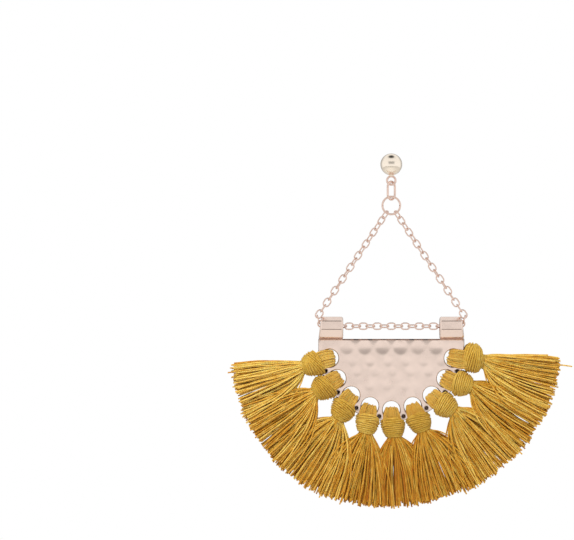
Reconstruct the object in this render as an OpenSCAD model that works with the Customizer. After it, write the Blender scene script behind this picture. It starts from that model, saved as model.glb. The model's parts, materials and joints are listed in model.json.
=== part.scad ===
// Fan earring: a ball stud, a chain sling, a half-moon plate and nine bound tassels.
// The origin is on the ear post's axis, where the ball meets the ear lobe.
// +Z is up, the front faces -Y and the post points along +Y. All sizes are in millimetres.

/* [Ear stud] */
// Diameter of the ball
ball_d = 6; // [5.6:0.1:6.6]
// Diameter of the ear post
post_d = 0.8; // [0.7:0.05:1]
// Length of the ear post behind the ball
post_l = 10.8; // [9:0.2:12]
// Outside diameter of the loop soldered under the ball
loop_od = 2.9; // [2.8:0.05:3.1]
// Wire of the loop
loop_wire = 0.6; // [0.5:0.05:0.65]

/* [Top link and jump ring] */
// Inside length of the oval link
top_link_in = 4.3; // [3.8:0.1:4.8]
// Outside width of the oval link
top_link_w = 3.6; // [3.5:0.05:3.8]
// Wire of the oval link
top_link_wire = 0.6; // [0.5:0.05:0.6]
// Angle that the oval link is turned from facing the front
top_link_turn = 48; // [45:1:52]
// Outside diameter of the jump ring
ring_od = 5.4; // [5.2:0.1:5.8]
// Wire of the jump ring
ring_wire = 0.55; // [0.45:0.05:0.6]

/* [Chain] */
// Wire of a chain link
link_wire = 0.38; // [0.32:0.02:0.38]
// Outside width of a chain link
link_w = 2.08; // [2.06:0.01:2.1]
// Inside length of a chain link
link_in = 2.03; // [2.02:0.01:2.05]
// Step from one link to the next
link_step = 1.92; // [1.91:0.01:1.93]
// Links from a tube's end up to the jump ring, without the one on the ring
side_links = 17; // [13:2:21]

/* [Plate] */
// Radius of the plate's round edge
plate_r = 20.35; // [20.2:0.05:20.6]
// Half width of the plate under the tubes
plate_half_w = 20; // [19.8:0.05:20.2]
// Thickness of the plate
plate_t = 1.4; // [1.2:0.1:1.4]
// Radius of the circle that the holes lie on
hole_ring_r = 17.1; // [17:0.05:17.2]
// Diameter of a hole
hole_d = 4.7; // [4.7:0.05:4.8]
// Angle from one hole to the next
hole_step = 20; // [19.8:0.1:20.2]

/* [Tubes] */
// Distance of each tube's inner end from the middle
tube_in = 13.2; // [13:0.1:13.6]
// Distance of each tube's outer end from the middle, at its top
tube_out = 19.25; // [19.15:0.05:19.3]
// Radius of the tube's eight corners
tube_r = 3.2; // [3.15:0.05:3.4]
// Diameter of the tube's bore
bore_d = 3.5; // [3.5:0.05:3.6]

/* [Tassels] */
// Radius from the plate's centre at which the necks end
neck_end_r = 25; // [24.8:0.1:25.4]
// Radius of a neck at its end
neck_r = 1.6; // [1.4:0.05:1.7]
// Thread of the bindings
binding_thread = 0.6; // [0.55:0.05:0.65]
// Gap between neighbouring skirts
skirt_gap = 0.3; // [0.2:0.05:0.6]

/* [Hidden] */
$fn = 48;

// Everything hangs in the plane through the ball's middle
mid_y = -ball_d / 2;
// Gap left between links that hang in each other, and round the oval link's wire
play = 0.12;
top_link_play = 0.22;

// The loop just bites into the ball, and a bead of solder joins them
loop_r = (loop_od - loop_wire) / 2;
loop_sink = 0.05;
loop_z = -(ball_d / 2 + loop_od / 2 - loop_sink);
solder_d = 0.9;

// The oval link hangs on the loop and the jump ring on the oval link
top_link_top = loop_z - loop_r + loop_wire / 2 + top_link_play;
top_link_z = top_link_top - top_link_in / 2;
ring_r = (ring_od - ring_wire) / 2;
ring_z = top_link_top - top_link_in + top_link_play + ring_wire / 2 - ring_r;

// Half of the chain is laid out by points [x, z], with z above the level of the run
// between the tubes. Two links turn the corner at a tube's end.
run_links = 9;
corner_turn = [33, 75];
corner_reach = [0.9, 0.885, 0.84];
function ahead(p, a, d) = [p[0] + d * cos(a), p[1] + d * sin(a)];
corner_start = [(run_links + 0.5) * link_step, 0];
rim_link = ahead(corner_start, corner_turn[0], corner_reach[0]);
rise_start = ahead(rim_link, corner_turn[0], corner_reach[1]);
rise_link = ahead(rise_start, corner_turn[1], corner_reach[1]);
side_start = ahead(rise_link, corner_turn[1], corner_reach[2]);

// The side is taut, so its length sets how far the run hangs below the jump ring
ring_to_hook = ring_r - ring_wire / 2 - play + link_in / 2;
side_l = ring_to_hook + side_links * link_step + corner_reach[2];
side_rise = sqrt(pow(side_l, 2) - pow(side_start[0], 2));
side_turn = atan2(side_rise, -side_start[0]);
run_z = ring_z - side_start[1] - side_rise;
// The side's links turn by this much from the tube up to the ring
side_twist = -35;

// The run lies against the top of the bores
tube_z = run_z + link_w / 2 + 0.17 - bore_d / 2;
tube_lean = 6;
tube_bevel = 0.6;
mouth_r = 2.5;
mouth_depth = 1.4;
// A corner of the eight-sided tube faces the front, a little below the middle
tube_spin = -5;

// The plate's round edge and its holes have one centre
plate_top_z = tube_z - 2.93;
arc_z = plate_top_z - 2.26;
plate_bevel = 0.25;
hole_bevel = 0.3;
holes = 9;
function hole_angle(n) = (n - 5) * hole_step;

// Rows of hammer marks: [drop below the plate's centre, first x, count, diameter, depth]
DROP = 0;
FIRST_X = 1;
COUNT = 2;
MARK_D = 3;
DEPTH = 4;
mark_step = 4.88;
mark_rows = [
    [-0.1, -12.2, 6, 3.9, 0.25],
    [3.8, -10.75, 5, 3.5, 0.14],
    [7.4, -9.3, 5, 3.5, 0.12],
    [11.1, -4.9, 3, 3.3, 0.12]
];

// Each tassel from left to right: [angle at which its neck ends, radius that its tips
// reach, outer radius of its binding], seen from the plate's centre
NECK_A = 0;
TIP_R = 1;
BULGE_R = 2;
tassels = [
    [-78, 43.6, 3.5],
    [-58.5, 44, 3.3],
    [-36.5, 44.6, 3.4],
    [-16.5, 43.6, 3.2],
    [2, 43.4, 3.3],
    [21, 43.3, 3.4],
    [44, 44.6, 3.2],
    [63, 45.2, 3.2],
    [81, 46, 3.5]
];
// Angles of the ten edges of the nine skirts
fan_edges = [-84, -65, -45.5, -24, -5, 13, 31.5, 51.5, 68, 87];

// The folded threads go round the plate's rim between a hole and the round edge
rim_mid = (plate_r - hole_ring_r + hole_d / 2) / 2;
// Sections of the fold: [angle round the rim from outwards, then four pairs of half
// width and distance from the rim's middle, from the inside out, then how much of the
// neck's lean it follows]
fold_sections = [
    [48, [1.2, 0.95], [2, 1.35], [1.85, 2.05], [1.1, 2.35], 1],
    [90, [1.6, 0.83], [2.35, 1.2], [2.35, 1.9], [1.5, 2.3], 0.5],
    [125, [0.8, 1], [2.1, 1.6], [2.2, 2.3], [1.5, 2.8], 0],
    [155, [0.3, 0.68], [1.4, 1.4], [2, 2.6], [1.5, 3.2], 0],
    [180, [0.3, 0.62], [1.55, 1.5], [1.95, 2.9], [1.4, 3.6], 0],
    [205, [0.3, 0.68], [1.4, 1.4], [2, 2.6], [1.5, 3.2], 0],
    [235, [0.8, 1], [2.1, 1.6], [2.2, 2.3], [1.5, 2.8], 0],
    [270, [1.6, 0.83], [2.35, 1.2], [2.35, 1.9], [1.5, 2.3], 0.5],
    [312, [1.2, 0.95], [2, 1.35], [1.85, 2.05], [1.1, 2.35], 1]
];

// The neck starts just outside the plate's edge and narrows towards the skirt
edge_gap = 0.15;
neck_top_r = 2.3;
neck_mid = 5.4;
neck_mid_r = 2;
binding_gap = 0.12;

// The skirt's locks: how many lie in front and behind, and their stations as
// [radius, share of the sector's width, distance in y, half thickness]
locks_front = 6;
locks_back = 4;
lock_stations = [
    [26.9, 0.62, 0.85, 0.95],
    [29.5, 1, 1.05, 1.2],
    [36, 1, 1.1, 1.25]
];
lock_tip = [0, 1, 1, 0.95];
lock_overlap = 1.16;
lock_jag = 0.45;

metal_rose = "#e3bfae";
metal_pale = "#ead9c2";
cotton = "#c09a38";

// A round wire bent to an oblong link, long along X and flat in the XZ plane
module oblong_link(inside_l, outside_w, wire) {
    bend_r = (outside_w - wire) / 2;
    straight = inside_l + 2 * wire - outside_w;
    rotate([90, 0, 0])
        for (side = [-1, 1]) {
            translate([side * straight / 2, 0, 0])
                rotate([0, 0, -90 * side])
                    rotate_extrude(angle = 180)
                        translate([bend_r, 0])
                            circle(d = wire);
            translate([-straight / 2, side * bend_r, 0])
                rotate([0, 90, 0])
                    cylinder(d = wire, h = straight);
        }
}

module round_ring(r, wire)
    rotate([90, 0, 0])
        rotate_extrude()
            translate([r, 0])
                circle(d = wire);

module ear_stud()
    color(metal_pale) {
        translate([0, mid_y, 0])
            sphere(d = ball_d);
        translate([0, mid_y / 2, 0])
            rotate([-90, 0, 0])
                cylinder(d = post_d, h = post_l - post_d / 2 - mid_y / 2);
        translate([0, post_l - post_d / 2, 0])
            sphere(d = post_d);
        translate([0, mid_y, -ball_d / 2])
            sphere(d = solder_d);
        translate([0, mid_y, loop_z])
            round_ring(loop_r, loop_wire);
    }

module top_link()
    color(metal_rose)
        translate([0, mid_y, top_link_z])
            rotate([0, 0, top_link_turn])
                rotate([0, 90, 0])
                    oblong_link(top_link_in, top_link_w, top_link_wire);

module jump_ring()
    color(metal_rose)
        translate([0, mid_y, ring_z])
            round_ring(ring_r, ring_wire);

// One chain link centred at p = [x, z above the run], along heading and turned by twist
module chain_link(p, heading, twist)
    translate([p[0], mid_y, run_z + p[1]])
        rotate([0, -heading, 0])
            rotate([twist, 0, 0])
                oblong_link(link_in, link_w, link_wire);

// The right half of the chain, without its middle link
module half_chain() {
    for (n = [1:run_links])
        chain_link([n * link_step, 0], 0, n % 2 * 90);
    chain_link(rim_link, corner_turn[0], 0);
    chain_link(rise_link, corner_turn[1], 90);
    for (n = [0:side_links]) {
        twist = n % 2 * 90 + side_twist * (n + 1) / (side_links + 1);
        p = ahead(side_start, side_turn, corner_reach[2] + n * link_step);
        chain_link(p, side_turn, twist);
    }
}

module chain()
    color(metal_rose) {
        chain_link([0, 0], 0, 0);
        half_chain();
        mirror([1, 0, 0])
            half_chain();
    }

// What trims one end of a tube: a round nose that points along +X with its tip at the
// origin and widens inwards, so that the tube's end comes out bevelled
module nose(l)
    rotate([0, 90, 0])
        rotate_extrude()
            polygon([
                [0, 0],
                [tube_r - tube_bevel, 0],
                [tube_r + l, -tube_bevel - l],
                [tube_r + l, -3 * l],
                [0, -3 * l]
            ]);

// The right tube, bored along X, with a wide mouth at its outer end for the chain
module tube() {
    l = tube_out - tube_in;
    difference() {
        translate([0, mid_y, tube_z])
            intersection() {
                translate([tube_in, 0, 0])
                    rotate([90, 0, 90])
                        linear_extrude(2 * l)
                            rotate([0, 0, tube_spin])
                                circle(r = tube_r, $fn = 8);
                translate([tube_in, 0, 0])
                    mirror([1, 0, 0])
                        nose(l);
                translate([tube_out + tube_r * tan(tube_lean), 0, 0])
                    rotate([0, -tube_lean, 0])
                        nose(l);
            }
        translate([0, mid_y, tube_z])
            rotate([0, 90, 0]) {
                cylinder(d = bore_d, h = plate_r + l);
                translate([0, 0, tube_out - mouth_depth])
                    cylinder(r1 = bore_d / 2, r2 = bore_d / 2 + 2 * (mouth_r - bore_d / 2), h = 2 * mouth_depth);
            }
    }
}

// The half-moon before it is bored, with a shoulder on each side that the tube sits on
module half_moon() {
    shoulder_top = tube_z - bore_d / 2 - 0.3;
    intersection() {
        translate([0, mid_y, arc_z])
            rotate([90, 0, 0])
                rotate_extrude()
                    polygon([
                        [0, -plate_t / 2],
                        [plate_r - plate_bevel, -plate_t / 2],
                        [plate_r, -plate_t / 2 + plate_bevel],
                        [plate_r, plate_t / 2 - plate_bevel],
                        [plate_r - plate_bevel, plate_t / 2],
                        [0, plate_t / 2]
                    ]);
        union() {
            translate([-plate_half_w, mid_y - plate_t, arc_z - 2 * plate_r])
                cube([2 * plate_half_w, 2 * plate_t, 2 * plate_r + plate_top_z - arc_z]);
            for (side = [-1, 1])
                translate([side * (tube_in + tube_out) / 2, mid_y, (arc_z + shoulder_top) / 2])
                    cube([tube_out - tube_in - 2 * tube_bevel, 2 * plate_t, shoulder_top - arc_z], center = true);
        }
    }
}

// A hole through the plate, bevelled front and back
module rim_hole()
    rotate([90, 0, 0]) {
        cylinder(d = hole_d, h = 3 * plate_t, center = true);
        for (side = [0, 1])
            mirror([0, 0, side])
                translate([0, 0, plate_t / 2 - hole_bevel])
                    cylinder(r1 = hole_d / 2, r2 = hole_d / 2 + plate_t, h = plate_t);
    }

// The ball of the hammer that leaves a mark of the given diameter and depth
module hammer(d, depth) {
    r = (pow(d / 2, 2) + pow(depth, 2)) / (2 * depth);
    translate([0, -plate_t / 2 - r + depth, 0])
        sphere(r = r);
}

module plate()
    color(metal_rose) {
        difference() {
            half_moon();
            for (n = [1:holes])
                translate([0, mid_y, arc_z])
                    rotate([0, -hole_angle(n), 0])
                        translate([0, 0, -hole_ring_r])
                            rim_hole();
            for (row = mark_rows)
                for (n = [0:row[COUNT] - 1])
                    translate([row[FIRST_X] + n * mark_step, mid_y, arc_z - row[DROP]])
                        hammer(row[MARK_D], row[DEPTH]);
        }
        tube();
        mirror([1, 0, 0])
            tube();
    }

// A tassel is drawn in its own hole's frame: the hole's centre is the origin and -Z
// points straight out from the plate's centre
module at_hole(n)
    translate([0, mid_y, arc_z])
        rotate([0, -hole_angle(n), 0])
            translate([0, 0, -hole_ring_r])
                children();

// The point at radius r and angle a from the plate's centre, in a hole's frame
function fan_point(r, a, y) = [r * sin(a), y, hole_ring_r - r * cos(a)];
function neck_end(n) = fan_point(neck_end_r, tassels[n - 1][NECK_A] - hole_angle(n), 0);
function neck_lean(n) = atan2(neck_end(n)[0], -neck_end(n)[2]);
function neck_l(n) = norm(neck_end(n));
// How far along its leaning axis a round end of radius r just clears the plate's edge
function clear_of_edge(n, r) =
    (plate_r - hole_ring_r + edge_gap) / cos(neck_lean(n)) + r * abs(tan(neck_lean(n)));

// The faces of a prism whose two ends have k points each
function prism_faces(k) = concat(
    [[for (i = [k - 1:-1:0]) i]],
    [[for (i = [0:k - 1]) k + i]],
    [for (i = [0:k - 1]) [i, (i + 1) % k, k + (i + 1) % k]],
    [for (i = [0:k - 1]) [i, k + (i + 1) % k, k + i]]
);

// A run of locks or folded threads: each stretch between two sections is filled
module stretches(sections)
    for (i = [0:len(sections) - 2])
        hull()
            polyhedron(
                points = concat(sections[i], sections[i + 1]),
                faces = prism_faces(len(sections[0]))
            );

// The eight points of one section of the fold round the rim
function fold_ring(s, lean) = [
    for (side = [1, -1])
        for (i = side > 0 ? [1:4] : [4:-1:1])
            let (z = -rim_mid - s[i][1] * cos(s[0]))
            [side * s[i][0] - s[5] * z * tan(lean), -s[i][1] * sin(s[0]), z]
];

// A round section of the neck at distance t from the hole's centre
function neck_ring(n, t, r) = [
    for (a = [15:30:345]) [
        t * sin(neck_lean(n)) + r * cos(a) * cos(neck_lean(n)),
        r * sin(a),
        -t * cos(neck_lean(n)) + r * cos(a) * sin(neck_lean(n))
    ]
];

// A six-sided section of a lock, of half width w and half thickness t, square to lean
function lock_ring(p, lean, w, t) = [
    for (q = [[1, 0], [0.55, 1], [-0.55, 1], [-1, 0], [-0.55, -1], [0.55, -1]])
        p + [q[0] * w * cos(lean), q[1] * t, q[0] * w * sin(lean)]
];

// The sections of one lock: row is -1 in front and 1 behind, and f runs across the skirt
function lock_sections(n, row, f, count) =
    let (
        a0 = fan_edges[n - 1] - hole_angle(n),
        a1 = fan_edges[n] - hole_angle(n),
        lean = neck_lean(n),
        side = 2 * f - 1,
        base_w = neck_r / count * lock_overlap,
        jag = lock_jag * sin(137 * n + 223 * f * count + 90 * row),
        bump = 0.14 * sin(61 * n + 151 * f * count + 40 * row),
        tip = [tassels[n - 1][TIP_R] + jag, lock_tip[1], lock_tip[2], lock_tip[3]],
        base_t = neck_l(n) + 0.02,
        base_x = side * (neck_r - 1.4 * base_w),
        round_in = sqrt(1 - pow(0.85 * side, 2)),
        base = lock_ring(
            [
                base_t * sin(lean) + base_x * cos(lean),
                row * 0.62 * round_in + bump / 3,
                -base_t * cos(lean) + base_x * sin(lean)
            ],
            lean, base_w, 0.72 * round_in
        ),
        spread = [
            for (s = concat(lock_stations, [tip]))
                let (
                    half_a = (a1 - a0) / 2 - skirt_gap * 28.65 / s[0],
                    half_w = half_a * s[0] / 57.3 / count,
                    mid_a = (a0 + a1) / 2,
                    start_a = tassels[n - 1][NECK_A] - hole_angle(n),
                    centre_a = start_a + (mid_a - start_a) * s[1],
                    a = centre_a + side * (half_a - (lock_overlap - 1) * half_w * 57.3 / s[0]) * s[1]
                )
                lock_ring(fan_point(s[0], a, row * s[2] + bump), a, half_w * lock_overlap * s[1], s[3] - bump / 2)
        ]
    )
    concat([base], spread);

// One row of locks side by side
module lock_row(n, row, count)
    for (i = [0:count - 1])
        stretches(lock_sections(n, row, (i + 0.5) / count, count));

// The threads of a tassel: the fold through its hole, the neck and the skirt's locks
module tassel(n)
    color(cotton)
        at_hole(n)
            union() {
                stretches([for (s = fold_sections) fold_ring(s, neck_lean(n))]);
                stretches([
                    neck_ring(n, clear_of_edge(n, neck_top_r), neck_top_r),
                    neck_ring(n, neck_mid, neck_mid_r),
                    neck_ring(n, neck_l(n) + 0.4, neck_r)
                ]);
                lock_row(n, -1, locks_front);
                lock_row(n, 1, locks_back);
            }

// The binding of a tassel's neck: turns of thread side by side, wide at the top
module binding(n) {
    start = clear_of_edge(n, tassels[n - 1][BULGE_R]);
    l = neck_l(n) - start;
    turns = round(l / binding_thread * 1.25);
    step = (l - binding_thread) / (turns - 1);
    top_r = tassels[n - 1][BULGE_R] - binding_thread / 2;
    end_r = neck_r + binding_gap + binding_thread / 2;
    color(cotton)
        at_hole(n)
            rotate([0, -neck_lean(n), 0])
                translate([0, 0, -start - binding_thread / 2])
                    rotate_extrude()
                        for (i = [0:turns - 1])
                            translate([end_r + (top_r - end_r) * cos(90 * pow(i / (turns - 1), 1.3)), -i * step])
                                circle(d = binding_thread);
}

ear_stud();
top_link();
jump_ring();
chain();
plate();
tassel(1);  // tassel_1
tassel(2);  // tassel_2
tassel(3);  // tassel_3
tassel(4);  // tassel_4
tassel(5);  // tassel_5
tassel(6);  // tassel_6
tassel(7);  // tassel_7
tassel(8);  // tassel_8
tassel(9);  // tassel_9
binding(1);  // binding_1
binding(2);  // binding_2
binding(3);  // binding_3
binding(4);  // binding_4
binding(5);  // binding_5
binding(6);  // binding_6
binding(7);  // binding_7
binding(8);  // binding_8
binding(9);  // binding_9
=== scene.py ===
import json
import math
import random
from functools import partial

import bmesh
import bpy
from mathutils import Matrix, Vector, noise
from mathutils.geometry import delaunay_2d_cdt


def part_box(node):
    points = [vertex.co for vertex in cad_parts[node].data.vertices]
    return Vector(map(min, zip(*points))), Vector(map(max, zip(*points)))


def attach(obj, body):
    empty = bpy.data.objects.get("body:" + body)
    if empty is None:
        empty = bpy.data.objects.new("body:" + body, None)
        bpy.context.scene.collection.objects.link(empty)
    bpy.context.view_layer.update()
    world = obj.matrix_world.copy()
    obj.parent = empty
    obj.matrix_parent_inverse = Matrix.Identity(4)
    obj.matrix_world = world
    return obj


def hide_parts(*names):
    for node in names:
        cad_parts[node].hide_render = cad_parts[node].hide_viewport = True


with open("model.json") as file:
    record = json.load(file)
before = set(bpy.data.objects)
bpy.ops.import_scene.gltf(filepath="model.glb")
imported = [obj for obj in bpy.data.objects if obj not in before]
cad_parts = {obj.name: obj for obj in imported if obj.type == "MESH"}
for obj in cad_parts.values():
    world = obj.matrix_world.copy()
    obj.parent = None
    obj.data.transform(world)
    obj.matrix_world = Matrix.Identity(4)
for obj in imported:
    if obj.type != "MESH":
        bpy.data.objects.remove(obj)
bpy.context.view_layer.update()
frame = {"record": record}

MM = 0.001
# The vector noise starts from the clock unless it is given a seed
noise.seed_set(1)

# Sizes of the metal, in millimetres, as the solids have them
BALL_D = 6.0
POST_D = 0.8
POST_L = 10.8
LOOP_OD = 2.9
LOOP_WIRE = 0.6
OVAL_WIRE = 0.6
OVAL_IN = 4.3
OVAL_W = 3.6
OVAL_TURN = math.radians(48)
RING_WIRE = 0.55
LINK_WIRE = 0.38
LINK_W = 2.08
LINK_IN = 2.03
LINK_STEP = 1.92
LINK_GAP = 0.12
RUN_LINKS = 9
SIDE_LINKS = 17
SIDE_TWIST = -35
# Every other link of the run is turned a little less than a right angle, so that it shows its loop
RUN_TWIST = 66
CORNER_TURN = (33, 75)
CORNER_REACH = (0.9, 0.885, 0.84)
PLATE_R = 20.35
PLATE_HALF_W = 20.0
PLATE_T = 1.4
PLATE_TOP = 2.26
HOLE_RING_R = 17.1
HOLE_D = 4.7
HOLE_STEP = 20
HOLES = 9
MID_HOLE = 5
TUBE_IN = 13.2
TUBE_OUT = 19.25
TUBE_R = 3.2
TUBE_BORE_R = 1.75
TUBE_MOUTH_R = 2.5
TUBE_MOUTH_DEPTH = 1.4
TUBE_LEAN = math.tan(math.radians(6))
TUBE_RISE = 5.19

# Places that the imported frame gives, in millimetres
MID_Y = -BALL_D / 2
ARC_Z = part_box("plate")[0].z / MM + PLATE_R
TUBE_Z = ARC_Z + TUBE_RISE
RING_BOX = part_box("jump_ring")
RING_Z = (RING_BOX[0].z + RING_BOX[1].z) / 2 / MM
RING_R = (RING_BOX[1].z - RING_BOX[0].z) / 2 / MM - RING_WIRE / 2
OVAL_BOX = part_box("top_link")
OVAL_Z = (OVAL_BOX[0].z + OVAL_BOX[1].z) / 2 / MM
LOOP_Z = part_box("ear_stud")[0].z / MM + LOOP_OD / 2


def linear(code):
    """An sRGB hex colour as the linear RGBA that a shader takes."""
    channels = [int(code[i : i + 2], 16) / 255 for i in (1, 3, 5)]
    return [c / 12.92 if c <= 0.04045 else ((c + 0.055) / 1.055) ** 2.4 for c in channels] + [1.0]


def add_node(tree, kind, feeds=None, **settings):
    """One node with its settings. feeds maps an input to a value, a socket or a node's first output."""
    node = tree.nodes.new(kind)
    for name, value in settings.items():
        setattr(node, name, value)
    for key, source in (feeds or {}).items():
        if isinstance(source, bpy.types.Node):
            source = source.outputs[0]
        if isinstance(source, bpy.types.NodeSocket):
            tree.links.new(source, node.inputs[key])
        else:
            node.inputs[key].default_value = source
    return node


def new_material(name):
    """A material whose tree is still empty, and the call that adds a node to it."""
    material = bpy.data.materials.new(name)
    material.use_nodes = True
    material.node_tree.nodes.clear()
    return material, partial(add_node, material.node_tree)


def finish_material(add, feeds):
    """Ends a material's tree with a Principled shader and its feeds."""
    shader = add("ShaderNodeBsdfPrincipled", feeds)
    add("ShaderNodeOutputMaterial", {"Surface": shader})


def set_ramp(node, stops):
    """Gives a colour ramp its stops, each a position and an sRGB hex colour."""
    ramp = node.color_ramp
    for position, code in stops[1:-1]:
        ramp.elements.new(position)
    for element, (position, code) in zip(ramp.elements, stops):
        element.position = position
        element.color = linear(code)


# Painted shade: the dark colour that the plating is mixed towards in the pits, the tube's grooves, under
# the tubes and along edges
PAINTED_SHADE_COLOUR = "#3a2a26"
# Length along a thread in which its two plies wind once round each other
LAY_MM = 0.9
# Size of the patches that take the dye unevenly
PATCH_MM = 3


def polished_plating(name, colour, roughness, grain_mm):
    """Plating over cast metal, tumbled bright: a warm mirror with faint clouds of roughness, darkened by
    painted shade where its mesh's points carry it.
    """
    material, add = new_material(name)
    place = add("ShaderNodeTexCoord").outputs["Object"]
    clouds = add("ShaderNodeTexNoise", {"Vector": place, "Scale": 1 / (grain_mm * MM), "Detail": 3.0})
    least = roughness * 0.7
    most = roughness * 1.4
    rub = add(
        "ShaderNodeMapRange",
        {"Value": clouds, "From Min": 0.3, "From Max": 0.7, "To Min": least, "To Max": most},
    )
    bump = add("ShaderNodeBump", {"Height": clouds, "Strength": 0.06, "Distance": 0.04 * MM})
    # Painted shade: each point's share of it mixes the colour towards the dark one
    painted_shade = add("ShaderNodeAttribute", attribute_name="painted_shade").outputs["Fac"]
    tint = add("ShaderNodeValToRGB", {"Fac": painted_shade})
    set_ramp(tint, [(0.0, colour), (1.0, PAINTED_SHADE_COLOUR)])
    finish_material(add, {"Base Color": tint, "Metallic": 1.0, "Roughness": rub, "Normal": bump})
    return material


def cotton_thread(name, stops, fold_light_colour, streak_mm, soak):
    """Dyed cotton thread of two plies: matt, each thread a little lighter or darker than the next."""
    material, add = new_material(name)
    tone, along, rubbed = [
        add("ShaderNodeAttribute", attribute_name=kept).outputs["Fac"]
        for kept in ("tone", "along", "rubbed")
    ]
    around = add("ShaderNodeAttribute", attribute_name="around").outputs["Vector"]
    place = add("ShaderNodeTexCoord").outputs["Object"]
    # The plies wind round the thread once in each lay
    turn = add("ShaderNodeMath", {0: along, 1: 2 * math.pi / (LAY_MM * MM)}, operation="MULTIPLY")
    lay_x = add("ShaderNodeMath", {0: turn}, operation="COSINE")
    lay_y = add("ShaderNodeMath", {0: turn}, operation="SINE")
    lay = add("ShaderNodeCombineXYZ", {"X": lay_x, "Y": lay_y})
    facing = add("ShaderNodeVectorMath", {0: around, 1: lay}, operation="DOT_PRODUCT")
    facing = facing.outputs["Value"]
    ply = add("ShaderNodeMath", {0: facing, 1: facing}, operation="MULTIPLY")
    # Painted shade in the grooves between the plies and painted light on their crowns
    ply_shading = add("ShaderNodeMath", {0: ply, 1: 0.22, 2: -0.11}, operation="MULTIPLY_ADD")
    # Dye takes unevenly over a few millimetres
    patch = add("ShaderNodeTexNoise", {"Vector": place, "Scale": 1 / (PATCH_MM * MM), "Detail": 2.0})
    patchy = add("ShaderNodeMath", {0: patch, 1: 0.5, 2: -0.25}, operation="MULTIPLY_ADD")
    # The shade also drifts along each thread, from a start of its own
    own = add("ShaderNodeMath", {0: tone, 1: 37.0}, operation="MULTIPLY")
    run = add("ShaderNodeMath", {0: along, 1: 1 / (streak_mm * MM), 2: own}, operation="MULTIPLY_ADD")
    streak = add("ShaderNodeTexNoise", {"W": run, "Detail": 1.0}, noise_dimensions="1D")
    mixed = add("ShaderNodeMath", {0: streak, 1: tone}, operation="ADD")
    shade = add("ShaderNodeMath", {0: mixed, 1: 0.45, 2: 0.05}, operation="MULTIPLY_ADD")
    shade = add("ShaderNodeMath", {0: shade, 1: patchy}, operation="ADD")
    shade = add("ShaderNodeMath", {0: shade, 1: ply_shading}, operation="ADD")
    dyed = add("ShaderNodeValToRGB", {"Fac": shade})
    set_ramp(dyed, stops)
    # Painted light: the middle of a thread, where it bears on the rim and is lit from all sides, is mixed
    # towards a paler colour
    worn = add("ShaderNodeMix", {0: rubbed, 6: dyed, 7: linear(fold_light_colour)}, data_type="RGBA").outputs[2]
    bump = add("ShaderNodeBump", {"Height": ply, "Strength": 0.3, "Distance": 0.04 * MM})
    finish_material(
        add,
        {
            "Base Color": worn,
            "Normal": bump,
            "Roughness": 0.8,
            "Specular IOR Level": 0.25,
            # Light soaks a little way into the fibres, and their fuzz shines at a glance
            "Subsurface Weight": soak,
            "Subsurface Radius": (1.0, 0.9, 0.7),
            "Subsurface Scale": 0.5 * MM,
            "Sheen Weight": 0.22,
            "Sheen Roughness": 0.5,
            "Sheen Tint": linear("#f7e3ac"),
        },
    )
    return material


# Rose-gold plating on a zinc casting: a pale pink mirror, softened by tumbling
ROSE_GOLD = polished_plating("rose_gold_plating", "#f1dbce", 0.2, 2.5)
# The same plating on drawn wire, which is smoother and looks a little redder
ROSE_WIRE = polished_plating("rose_gold_wire", "#edd1c3", 0.14, 1.5)
# Champagne-gold plating on a turned ball: the brightest polish, nearly white
CHAMPAGNE = polished_plating("champagne_gold_plating", "#fbeedd", 0.12, 2.0)
# Mercerised cotton, cut and combed: mustard, streaked from brown to pale gold, with painted light on the
# fold in a paler gold
TASSEL_COTTON = cotton_thread(
    "mustard_tassel_cotton", [(0.0, "#a9620b"), (0.45, "#bf8924"), (1.0, "#e3be60")], "#c09544", 9, 0.6
)
# The same cotton wound tight, which makes it more even and lets less light in
BINDING_COTTON = cotton_thread(
    "mustard_binding_cotton", [(0.0, "#a27420"), (0.5, "#c29938"), (1.0, "#debf66")], "#d2a757", 5, 0.3
)


def new_tree(name, floats, integers):
    """A geometry tree with named inputs, the call that adds a node to it, and the inputs' sockets."""
    tree = bpy.data.node_groups.new(name, "GeometryNodeTree")
    inputs = [("Geometry", "NodeSocketGeometry"), ("Material", "NodeSocketMaterial")]
    inputs += [(size, "NodeSocketFloat") for size in floats]
    inputs += [(size, "NodeSocketInt") for size in integers]
    for size, kind in inputs:
        tree.interface.new_socket(size, in_out="INPUT", socket_type=kind)
    tree.interface.new_socket("Geometry", in_out="OUTPUT", socket_type="NodeSocketGeometry")
    add = partial(add_node, tree)
    return tree, add, add("NodeGroupInput").outputs


def finish_tree(add, shape, material):
    """Ends a tree: real geometry with its material."""
    real = add("GeometryNodeRealizeInstances", {"Geometry": shape})
    smoothed = add("GeometryNodeSetShadeSmooth", {"Geometry": real})
    faced = add("GeometryNodeSetMaterial", {"Geometry": smoothed, "Material": material})
    add("NodeGroupOutput", {"Geometry": faced})


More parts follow.
